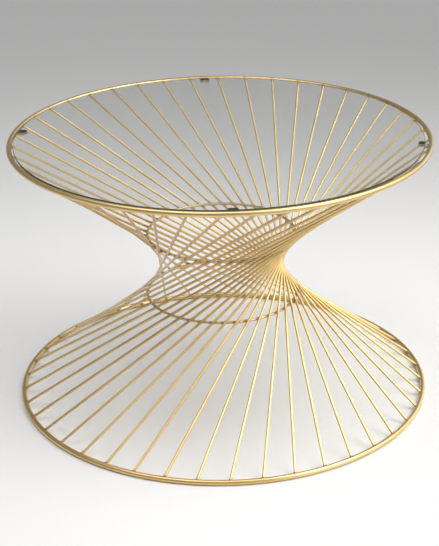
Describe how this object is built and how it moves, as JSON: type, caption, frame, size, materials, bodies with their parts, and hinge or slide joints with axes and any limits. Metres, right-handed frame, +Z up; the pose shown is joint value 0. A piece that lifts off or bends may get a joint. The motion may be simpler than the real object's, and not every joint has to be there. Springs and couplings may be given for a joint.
{
  "type": "coffee table",
  "caption": "Round coffee table: a narrow-waisted hyperboloid of straight gold wires between two rings, with a loose clear glass top on padded lugs.",
  "frame": {"origin": "on the floor, under the middle of the rings", "axes": "+Z up through the waist; -Y is the side that the picture looks from"},
  "size_m": [0.8099, 0.81, 0.52],
  "materials": {
    "gold_frame": "satin gold",
    "pads": "matte",
    "glass": "clear, polished edge"
  },
  "bodies": {
    "frame": {"top_ring": "gold_frame", "bottom_ring": "gold_frame", "lower_tie_ring": "gold_frame", "upper_tie_ring": "gold_frame", "wire_01": "gold_frame", "wire_02": "gold_frame", "wire_03": "gold_frame", "wire_04": "gold_frame", "wire_05": "gold_frame", "wire_06": "gold_frame", "wire_07": "gold_frame", "wire_08": "gold_frame", "wire_09": "gold_frame", "wire_10": "gold_frame", "wire_11": "gold_frame", "wire_12": "gold_frame", "wire_13": "gold_frame", "wire_14": "gold_frame", "wire_15": "gold_frame", "wire_16": "gold_frame", "wire_17": "gold_frame", "wire_18": "gold_frame", "wire_19": "gold_frame", "wire_20": "gold_frame", "wire_21": "gold_frame", "wire_22": "gold_frame", "wire_23": "gold_frame", "wire_24": "gold_frame", "wire_25": "gold_frame", "wire_26": "gold_frame", "wire_27": "gold_frame", "wire_28": "gold_frame", "wire_29": "gold_frame", "wire_30": "gold_frame", "wire_31": "gold_frame", "wire_32": "gold_frame", "wire_33": "gold_frame", "wire_34": "gold_frame", "wire_35": "gold_frame", "wire_36": "gold_frame", "wire_37": "gold_frame", "wire_38": "gold_frame", "wire_39": "gold_frame", "wire_40": "gold_frame", "wire_41": "gold_frame", "wire_42": "gold_frame", "tab_1": "gold_frame", "tab_2": "gold_frame", "tab_3": "gold_frame", "tab_4": "gold_frame", "pad_1": "pads", "pad_2": "pads", "pad_3": "pads", "pad_4": "pads"},
    "glass": {"glass_top": "glass"}
  },
  "joints": [
    {"name": "glass_lift", "type": "slide", "parent": "frame", "child": "glass", "axis": [0, 0, 1], "range_m": [0, 0.1]}
  ]
}
